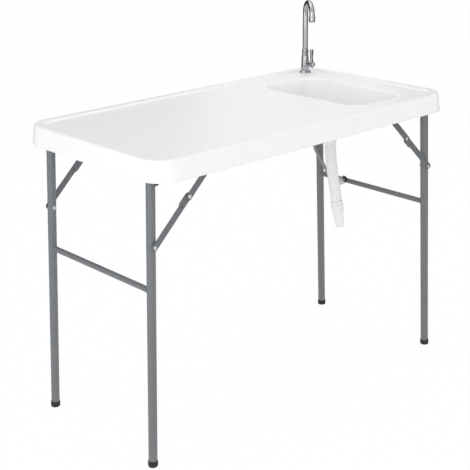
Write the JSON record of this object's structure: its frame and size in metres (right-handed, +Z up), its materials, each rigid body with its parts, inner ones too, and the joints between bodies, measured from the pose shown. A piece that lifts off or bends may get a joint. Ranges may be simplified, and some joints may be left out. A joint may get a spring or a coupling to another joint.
{
  "type": "sink table",
  "caption": "Folding camp sink table: moulded top with a basin, swivelling tap and drain hose, on two folding leg frames with locking braces.",
  "frame": {"origin": "on the floor, under the middle of the table's overall box, with the legs standing", "axes": "+X along the table towards the basin end, -Y towards the side that a person works at, +Z up"},
  "size_m": [1.1416, 0.5932, 1.0833],
  "materials": {
    "moulded_top": "moulded white polyethylene with a fine grain",
    "frame_steel": "grey powder coat on steel tube",
    "link_steel": "grey powder coat on stamped steel",
    "zinc": "bright zinc plate",
    "foot_plastic": "black moulded plastic",
    "chrome": "polished chrome plate",
    "white_plastic": "white moulded plastic",
    "rubber": "black rubber",
    "braid": "fine steel braid"
  },
  "bodies": {
    "tabletop": {"table_top": "moulded_top", "apron": "moulded_top", "basin_surround": "moulded_top", "basin_wall": "moulded_top", "basin_bend": "moulded_top", "basin_floor": "moulded_top", "left_front_brace_bracket": "link_steel", "left_front_pivot_bracket": "link_steel", "left_rear_brace_bracket": "link_steel", "left_rear_pivot_bracket": "link_steel", "right_front_brace_bracket": "link_steel", "right_front_pivot_bracket": "link_steel", "right_rear_brace_bracket": "link_steel", "right_rear_pivot_bracket": "link_steel", "tap_flange": "chrome", "tap_body": "chrome", "tap_shank": "zinc", "tap_locknut": "zinc", "supply_top_nut": "zinc", "supply_hose": "braid", "supply_end_nut": "zinc", "supply_end_washer": "rubber", "drain_flange": "white_plastic", "drain_strainer": "chrome", "drain_locknut": "white_plastic", "drain_hose": "white_plastic", "hose_collar": "white_plastic", "hose_coupling": "white_plastic", "hose_tail": "white_plastic"},
    "left_leg_frame": {"left_pivot_bar": "frame_steel", "left_crossbar": "frame_steel", "left_front_leg": "frame_steel", "left_front_foot_cap": "foot_plastic", "left_front_leg_rivet": "zinc", "left_rear_leg": "frame_steel", "left_rear_foot_cap": "foot_plastic", "left_rear_leg_rivet": "zinc"},
    "left_front_lower_brace": {"left_front_lower_link": "link_steel"},
    "left_front_upper_brace": {"left_front_upper_link": "link_steel", "left_front_knuckle_rivet": "zinc"},
    "left_rear_lower_brace": {"left_rear_lower_link": "link_steel"},
    "left_rear_upper_brace": {"left_rear_upper_link": "link_steel", "left_rear_knuckle_rivet": "zinc"},
    "right_leg_frame": {"right_pivot_bar": "frame_steel", "right_crossbar": "frame_steel", "right_front_leg": "frame_steel", "right_front_foot_cap": "foot_plastic", "right_front_leg_rivet": "zinc", "right_rear_leg": "frame_steel", "right_rear_foot_cap": "foot_plastic", "right_rear_leg_rivet": "zinc"},
    "right_front_lower_brace": {"right_front_lower_link": "link_steel"},
    "right_front_upper_brace": {"right_front_upper_link": "link_steel", "right_front_knuckle_rivet": "zinc"},
    "right_rear_lower_brace": {"right_rear_lower_link": "link_steel"},
    "right_rear_upper_brace": {"right_rear_upper_link": "link_steel", "right_rear_knuckle_rivet": "zinc"},
    "spout": {"tap_spout": "chrome", "tap_aerator": "chrome"},
    "tap_handle": {"tap_lever": "chrome"}
  },
  "joints": [
    {"name": "left_leg_fold", "type": "hinge", "parent": "tabletop", "child": "left_leg_frame", "pos_m": [-0.51737, 0, 0.782], "axis": [0, -1, 0], "range_deg": [0, 92.92]},
    {"name": "left_front_lower_link_hinge", "type": "hinge", "parent": "left_leg_frame", "child": "left_front_lower_brace", "pos_m": [-0.52606, -0.22366, 0.612], "axis": [0, 1, 0], "range_deg": [0, 128.84]},
    {"name": "left_front_upper_link_hinge", "type": "hinge", "parent": "tabletop", "child": "left_front_upper_brace", "pos_m": [-0.31915, -0.22646, 0.81042], "axis": [0, -1, 0], "range_deg": [0, 133.2]},
    {"name": "left_rear_lower_link_hinge", "type": "hinge", "parent": "left_leg_frame", "child": "left_rear_lower_brace", "pos_m": [-0.52606, 0.25066, 0.612], "axis": [0, 1, 0], "range_deg": [0, 128.84]},
    {"name": "left_rear_upper_link_hinge", "type": "hinge", "parent": "tabletop", "child": "left_rear_upper_brace", "pos_m": [-0.31915, 0.25346, 0.81042], "axis": [0, -1, 0], "range_deg": [0, 133.2]},
    {"name": "right_leg_fold", "type": "hinge", "parent": "tabletop", "child": "right_leg_frame", "pos_m": [0.51604, 0, 0.808], "axis": [0, 1, 0], "range_deg": [0, 92.92], "deforming": ["drain_hose", "supply_hose", "supply_end_nut", "supply_end_washer"]},
    {"name": "right_front_lower_link_hinge", "type": "hinge", "parent": "right_leg_frame", "child": "right_front_lower_brace", "pos_m": [0.52606, -0.25066, 0.612], "axis": [0, -1, 0], "range_deg": [0, 134.41]},
    {"name": "right_front_upper_link_hinge", "type": "hinge", "parent": "tabletop", "child": "right_front_upper_brace", "pos_m": [0.30709, -0.25346, 0.82198], "axis": [0, 1, 0], "range_deg": [0, 133.2]},
    {"name": "right_rear_lower_link_hinge", "type": "hinge", "parent": "right_leg_frame", "child": "right_rear_lower_brace", "pos_m": [0.52606, 0.22366, 0.612], "axis": [0, -1, 0], "range_deg": [0, 134.41]},
    {"name": "right_rear_upper_link_hinge", "type": "hinge", "parent": "tabletop", "child": "right_rear_upper_brace", "pos_m": [0.30709, 0.22646, 0.82198], "axis": [0, 1, 0], "range_deg": [0, 133.2]},
    {"name": "spout_swivel", "type": "hinge", "parent": "tabletop", "child": "spout", "pos_m": [0.478, 0.232, 0.844], "axis": [0, 0, 1], "continuous": true},
    {"name": "tap_lever_turn", "type": "hinge", "parent": "tabletop", "child": "tap_handle", "pos_m": [0.478, 0.208, 0.873], "axis": [0, -1, 0], "range_deg": [0, 90]}
  ],
  "couplings": [
    {"joint": "left_front_lower_link_hinge", "follows": "left_leg_fold", "ratio": 1.3865},
    {"joint": "left_front_upper_link_hinge", "follows": "left_leg_fold", "ratio": 1.4334},
    {"joint": "left_rear_lower_link_hinge", "follows": "left_leg_fold", "ratio": 1.3865},
    {"joint": "left_rear_upper_link_hinge", "follows": "left_leg_fold", "ratio": 1.4334},
    {"joint": "right_front_lower_link_hinge", "follows": "right_leg_fold", "ratio": 1.4465},
    {"joint": "right_front_upper_link_hinge", "follows": "right_leg_fold", "ratio": 1.4334},
    {"joint": "right_rear_lower_link_hinge", "follows": "right_leg_fold", "ratio": 1.4465},
    {"joint": "right_rear_upper_link_hinge", "follows": "right_leg_fold", "ratio": 1.4334}
  ]
}
